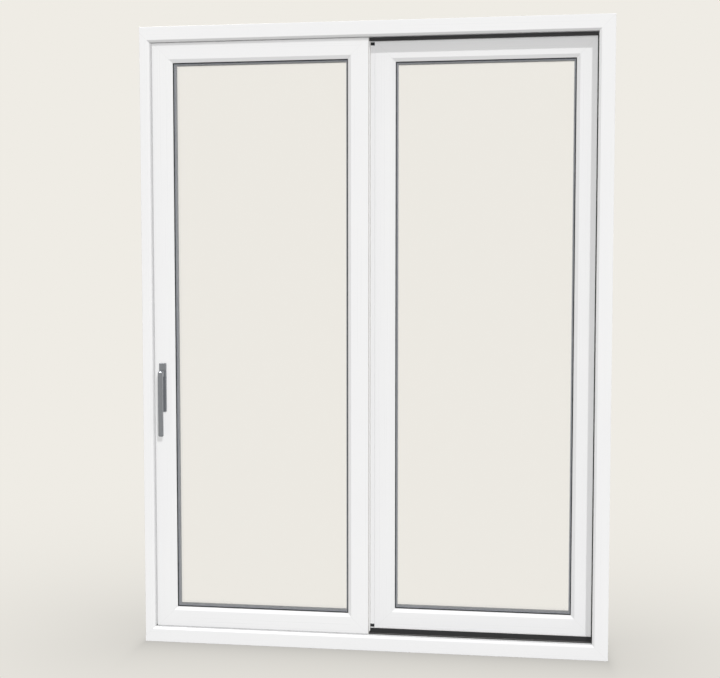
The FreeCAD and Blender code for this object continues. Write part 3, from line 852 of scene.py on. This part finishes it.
class PATIO_OT_pile_seals(bpy.types.Operator):
    """Adds the pile seals on the back of the sill's and the head's lips, in front of the sliding leaf"""

    bl_idname = "patio.pile_seals"
    bl_label = "Pile seals"

    def execute(self, context):
        finishes = context.scene.patio_finishes
        fittings = context.scene.patio_fittings
        pile = woven_pile("woven_polypropylene_pile", finishes.pile, finishes.pile_shade)
        track_low, track_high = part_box("bottom_track")
        guide_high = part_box("top_guide_track")[1]
        left = track_low[0] + LIP_RISE
        right = track_high[0] - LIP_RISE
        # The pile stands a little past the tips of the lips, as it does on such doors.
        past = 0.2 * MM
        sill_tip = track_low[2] + LIP_RISE
        head_tip = guide_high[2] - LIP_RISE
        rows = (
            ("sill_pile_seal", sill_tip + past - fittings.pile_width),
            ("head_pile_seal", head_tip - past),
        )
        for name, foot in rows:
            low = (left, track_low[1], foot)
            high = (right, track_low[1] + fittings.pile_reach, foot + fittings.pile_width)
            seal = pile_seal(name, low, high, fittings.pile_backing, fittings.pile_reach)
            seal.data.materials.append(pile)
            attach(seal, "frame")
        return {"FINISHED"}


class PATIO_OT_studio(bpy.types.Operator):
    """Sets up the floor, the light and the camera"""

    bl_idname = "patio.studio"
    bl_label = "Studio"

    def execute(self, context):
        studio = context.scene.patio_studio
        self.floor(studio)
        self.sky(context.scene, studio)
        self.key_light(studio)
        self.fill_lights(studio)
        self.camera(context.scene, studio)
        self.light_paths(context.scene)
        return {"FINISHED"}

    def camera(self, scene, studio):
        """A camera that stands in the room, to the right of the door's middle."""
        bpy.ops.object.select_all(action="DESELECT")
        turn = (math.pi / 2 - studio.camera_tilt, 0, studio.camera_turn)
        bpy.ops.object.camera_add(location=studio.camera_place, rotation=turn)
        camera = bpy.context.object
        camera.name = "camera"
        camera.data.sensor_fit = "HORIZONTAL"
        camera.data.lens = studio.lens
        camera.data.clip_end = 200
        scene.camera = camera
        scene.view_settings.view_transform = "Standard"

    def light_paths(self, scene):
        """How often light may turn.

        White bars that face each other would light up their corners, so light doesn't turn between matt
        faces. Twelve faces of glass lie behind each other when the leaf is open, and light passes them all.
        """
        glass_turns = 32
        scene.cycles.diffuse_bounces = 0
        scene.cycles.max_bounces = glass_turns
        scene.cycles.transmission_bounces = glass_turns
        scene.cycles.transparent_max_bounces = glass_turns
        scene.cycles.caustics_refractive = False
        scene.cycles.caustics_reflective = False

    def key_light(self, studio):
        """A small lamp, high up in front of the door, that casts the shadows.

        It doesn't fade with distance, and makes up for the slant at which its light meets the door's face.
        """
        bpy.ops.object.select_all(action="DESELECT")
        bpy.ops.object.light_add(type="POINT", location=studio.key_place)
        lamp = bpy.context.object
        lamp.name = "light_key"
        lamp.data.energy = 4 * math.pi * studio.key
        lamp.data.shadow_soft_size = 70 * MM
        lamp.visible_glossy = False
        lamp.visible_transmission = False
        lamp.data.use_nodes = True
        tree = lamp.data.node_tree
        tree.nodes.clear()
        run = add(tree, "LightPath").outputs["Ray Length"]
        slant = reckon(tree, "MULTIPLY", run, -1 / studio.key_place[1])
        even = add(tree, "LightFalloff", {"Strength": slant})
        glow = add(tree, "Emission", {"Strength": even.outputs["Constant"]})
        out = add(tree, "OutputLight")
        tree.links.new(glow.outputs[0], out.inputs["Surface"])

    def fill_lights(self, studio):
        """A fill without shadows from each side of the door.

        The side fills come from a little behind, so that slopes on the room side stay as bright as faces.
        """
        lamps = (
            ("from_room", (0, 1, 0)),
            ("from_garden", (0, -1, 0)),
            ("from_left", (1, -0.82, 0)),
            ("from_right", (-1, -0.5, 0)),
            ("from_above", (0.3, 0, -1)),
            ("from_below", (0, 0, 1)),
        )
        away = 4
        for name, aim in lamps:
            way = Vector(aim)
            bpy.ops.object.select_all(action="DESELECT")
            turn = way.to_track_quat("-Z", "Y").to_euler()
            bpy.ops.object.light_add(type="SUN", location=-away * way, rotation=turn)
            lamp = bpy.context.object
            lamp.name = "light_" + name
            lamp.data.energy = getattr(studio, name)
            lamp.data.angle = math.radians(1.5)
            lamp.data.use_shadow = False
            # Only the light from above shows in the metal, so no lamp's disc shows in the panes.
            lamp.visible_glossy = name == "from_above"
            lamp.visible_transmission = False

    def seen_rays(self, tree):
        """The light path, and whether it shows: straight to the camera, through a pane or in a mirror."""
        path = add(tree, "LightPath").outputs
        seen = reckon(tree, "MAXIMUM", path["Is Camera Ray"], path["Is Transmission Ray"])
        return path, reckon(tree, "MAXIMUM", seen, path["Is Glossy Ray"])

    def floor(self, studio):
        """A pale floor that glows as the backdrop does, shaded beside the door's foot.

        The panes show one even tone, so the shade is left out where it would be seen through them.
        """
        width, gap = 120, 1 * MM
        bpy.ops.object.select_all(action="DESELECT")
        bpy.ops.mesh.primitive_plane_add(size=width, location=(0, 0, frame_low[2] - gap))
        floor = bpy.context.object
        floor.name = "floor"
        material, tree, out = new_material("matt_painted_floor")
        part = add(tree, "SeparateXYZ", {"Vector": own_place(tree)})
        beyond = []
        for axis, half in (("X", frame_high[0]), ("Y", frame_high[1])):
            from_middle = reckon(tree, "ABSOLUTE", part.outputs[axis])
            past = reckon(tree, "SUBTRACT", from_middle, half)
            beyond.append(reckon(tree, "MAXIMUM", past, 0.0))
        # A wide soft shade, and a narrow darker one along the sill that hardly reaches past its ends.
        # Each has how much faster it fades past the ends, and how much faster it fades everywhere.
        wide_share = 0.58
        faded = []
        for ends, speed in ((1.0, 1.0), (6.0, 8.0)):
            sideways = reckon(tree, "MULTIPLY", beyond[0], ends)
            offset = add(tree, "CombineXYZ", {"X": sideways, "Y": beyond[1]})
            away = add(tree, "VectorMath", {0: offset.outputs[0]}, operation="LENGTH")
            fall = reckon(tree, "MULTIPLY", away.outputs["Value"], -speed / studio.contact_reach)
            faded.append(reckon(tree, "EXPONENT", fall))
        wide, narrow = faded
        shade = add(tree, "Mix", {0: wide_share, 2: narrow, 3: wide}, data_type="FLOAT").outputs[0]
        path, shown = self.seen_rays(tree)
        outside_panes = reckon(tree, "SUBTRACT", 1.0, path["Is Transmission Ray"])
        shown_shade = reckon(tree, "MULTIPLY", shade, outside_panes)
        tone = blend(tree, shown_shade, studio.background, studio.contact)
        glow = spread(tree, shown, (0.0, 1.0), (studio.haze, 1.0))
        light = add(tree, "Emission", {"Color": tone, "Strength": glow})
        tree.links.new(light.outputs[0], out.inputs["Surface"])
        floor.data.materials.append(material)

    def sky(self, scene, studio):
        """An even pale backdrop that gives a little light from all round."""
        world = bpy.data.worlds.new("studio_light")
        world.use_nodes = True
        tree = world.node_tree
        tree.nodes.clear()
        out = add(tree, "OutputWorld")
        soft = add(tree, "Background", {"Color": (1, 1, 1, 1), "Strength": studio.haze})
        backdrop = add(tree, "Background", {"Color": studio.background, "Strength": 1.0})
        _, shown = self.seen_rays(tree)
        both = add(tree, "MixShader", {0: shown, 1: soft.outputs[0], 2: backdrop.outputs[0]})
        tree.links.new(both.outputs[0], out.inputs["Surface"])
        scene.world = world


class PATIO_PT_panel(bpy.types.Panel):
    """Lists the door's finishes, fittings and studio"""

    bl_label = "Patio door"
    bl_idname = "PATIO_PT_panel"
    bl_space_type = "VIEW_3D"
    bl_region_type = "UI"
    bl_category = "Patio door"

    def draw(self, context):
        scene = context.scene
        for group in (scene.patio_finishes, scene.patio_fittings, scene.patio_studio):
            box = self.layout.box()
            for name in group.__annotations__:
                box.prop(group, name)
        for operator in OPERATORS:
            self.layout.operator(operator.bl_idname)


OPERATORS = (
    PATIO_OT_profiles,
    PATIO_OT_channels,
    PATIO_OT_glazing,
    PATIO_OT_ironmongery,
    PATIO_OT_lock_screws,
    PATIO_OT_lock_hooks,
    PATIO_OT_dust_cups,
    PATIO_OT_pile_seals,
    PATIO_OT_studio,
)
CLASSES = (PatioFinishes, PatioFittings, PatioStudio, *OPERATORS, PATIO_PT_panel)


def register():
    for cls in CLASSES:
        bpy.utils.register_class(cls)
    bpy.types.Scene.patio_finishes = bpy.props.PointerProperty(type=PatioFinishes)
    bpy.types.Scene.patio_fittings = bpy.props.PointerProperty(type=PatioFittings)
    bpy.types.Scene.patio_studio = bpy.props.PointerProperty(type=PatioStudio)


def unregister():
    del bpy.types.Scene.patio_studio
    del bpy.types.Scene.patio_fittings
    del bpy.types.Scene.patio_finishes
    for cls in reversed(CLASSES):
        bpy.utils.unregister_class(cls)


def main():
    register()
    bpy.ops.patio.profiles()
    bpy.ops.patio.channels()
    bpy.ops.patio.glazing()
    bpy.ops.patio.ironmongery()
    bpy.ops.patio.lock_screws()
    bpy.ops.patio.lock_hooks()
    bpy.ops.patio.dust_cups()
    bpy.ops.patio.pile_seals()
    bpy.ops.patio.studio()


if __name__ == "__main__":
    main()
